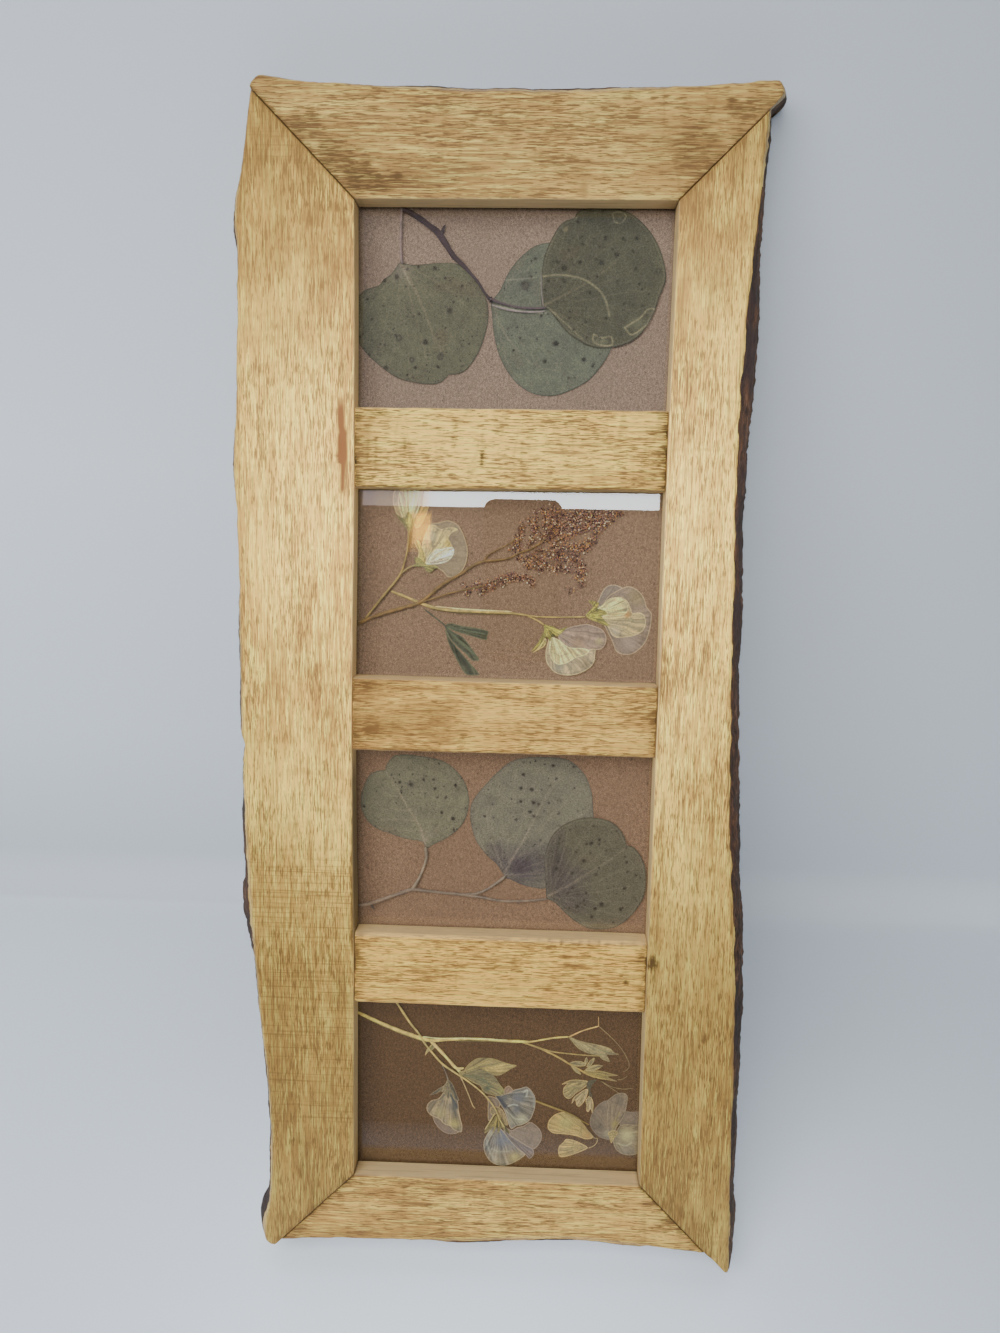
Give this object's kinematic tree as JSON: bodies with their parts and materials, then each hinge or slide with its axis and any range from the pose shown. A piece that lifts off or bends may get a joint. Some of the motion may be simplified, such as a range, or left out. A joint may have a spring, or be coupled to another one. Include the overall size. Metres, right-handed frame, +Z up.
{
  "type": "pressed flower frame",
  "caption": "Upright live-edge wooden frame with glazed windows stacked one above another, each holding pressed leaves or blossoms against a brown board.",
  "frame": {"origin": "the point on the flat back of the top rail, on the windows' centre line, that lies behind the middle of the hanger", "axes": "+Z up the long side of the hung frame, +Y out of its back towards the wall, +X to the right as seen from the front"},
  "size_m": [0.2495, 0.0237, 0.5573],
  "materials": {
    "wood": "satin oiled live-edge hardwood with the bark left on its outer edges",
    "glass": "clear polished picture glass",
    "board": "matt brown fibreboard",
    "steel": "zinc plated",
    "leaf": "matt dry pressed leaf",
    "leaf_stem": "matt dry twig",
    "brown_stem": "matt dry twig",
    "plume": "matt dry florets",
    "green_stem": "matt dry stem",
    "blue_petal": "silky dry petal",
    "pale_petal": "silky dry petal"
  },
  "bodies": {
    "root": {"backing_board_1": "board", "backing_board_2": "board", "backing_board_3": "board", "backing_board_4": "board", "bottom_rail": "wood", "cross_rail_lower": "wood", "cross_rail_middle": "wood", "cross_rail_upper": "wood", "eucalyptus_leaf_1a": "leaf", "eucalyptus_leaf_1b": "leaf", "eucalyptus_leaf_1c": "leaf", "eucalyptus_leaf_3a": "leaf", "eucalyptus_leaf_3b": "leaf", "eucalyptus_leaf_3c": "leaf", "eucalyptus_stem_1": "leaf_stem", "eucalyptus_stem_3": "leaf_stem", "glass_1": "glass", "glass_2": "glass", "glass_3": "glass", "glass_4": "glass", "hanger_nail_left": "steel", "hanger_nail_right": "steel", "left_stile": "wood", "pea_bloom_2a": "pale_petal", "pea_bloom_2b": "pale_petal", "pea_bloom_2c": "pale_petal", "pea_bloom_2d": "pale_petal", "pea_bloom_4a": "blue_petal", "pea_bloom_4b": "blue_petal", "pea_bloom_4c": "pale_petal", "pea_bud_4a": "blue_petal", "pea_buds_4b": "pale_petal", "pea_buds_4c": "pale_petal", "pea_leaf_2": "leaf", "pea_leaf_4a": "green_stem", "pea_leaf_4b": "green_stem", "pea_leaf_4c": "green_stem", "pea_petal_4a": "pale_petal", "pea_petal_4b": "pale_petal", "pea_stem_2a": "green_stem", "pea_stem_2b": "green_stem", "pea_stem_4a": "green_stem", "pea_stem_4b": "green_stem", "pea_stem_4c": "brown_stem", "pea_tendril_4": "green_stem", "plume_head": "plume", "plume_spray": "plume", "plume_stem": "brown_stem", "retaining_point_1a": "steel", "retaining_point_1b": "steel", "retaining_point_2a": "steel", "retaining_point_2b": "steel", "retaining_point_3a": "steel", "retaining_point_3b": "steel", "retaining_point_4a": "steel", "retaining_point_4b": "steel", "right_stile": "wood", "sawtooth_hanger": "steel", "top_rail": "wood"}
  },
  "joints": []
}
